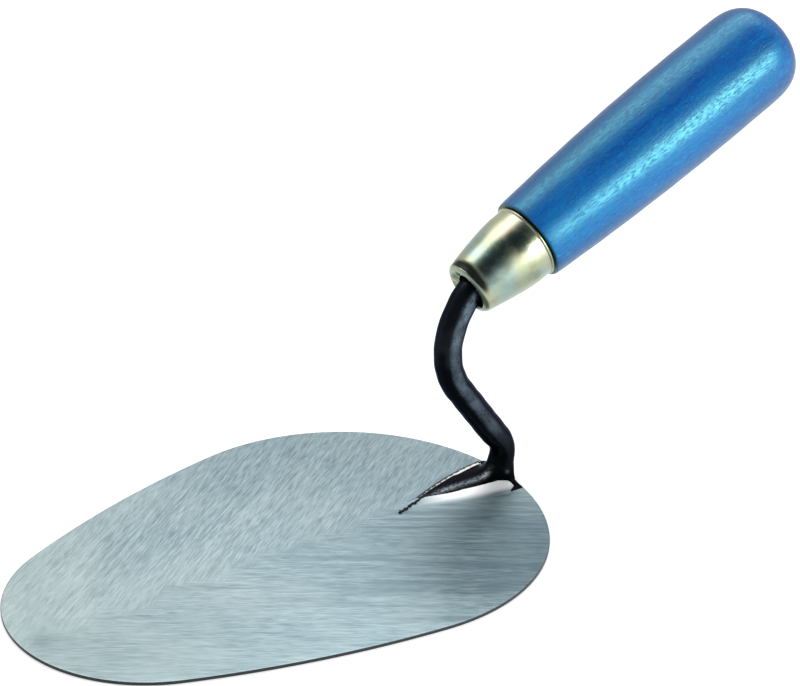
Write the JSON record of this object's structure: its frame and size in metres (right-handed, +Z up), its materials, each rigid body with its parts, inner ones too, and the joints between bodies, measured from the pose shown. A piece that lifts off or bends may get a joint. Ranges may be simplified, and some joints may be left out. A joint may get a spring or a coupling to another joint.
{
  "type": "hand trowel",
  "caption": "Plasterer's hand trowel: flat egg-shaped ground steel blade, black S-bent neck with a tongue, plated ferrule and a blue turned wooden handle.",
  "frame": {"origin": "middle of the footprint, on the surface that the blade lies on", "axes": "+X along the tool from the blade's tip to the butt of the handle, +Y across the blade, +Z up from the blade's flat underside"},
  "size_m": [0.2932, 0.1318, 0.1394],
  "materials": {
    "ground_steel": "ground bright, brushed in two directions that meet on the middle line",
    "black_lacquer": "semi-gloss black over forged steel, with small pits",
    "dressed_weld": "weld metal ground bright",
    "black_weld": "weld metal under the neck's black lacquer",
    "zinc_plate": "yellow passivated zinc plate, glossy",
    "blue_stained_wood": "turned beech under a translucent blue lacquer, satin gloss"
  },
  "bodies": {
    "root": {"blade": "ground_steel", "neck": "black_lacquer", "weld_left": "dressed_weld", "weld_right": "dressed_weld", "weld_heel": "black_weld", "ferrule": "zinc_plate", "handle": "blue_stained_wood"}
  },
  "joints": []
}
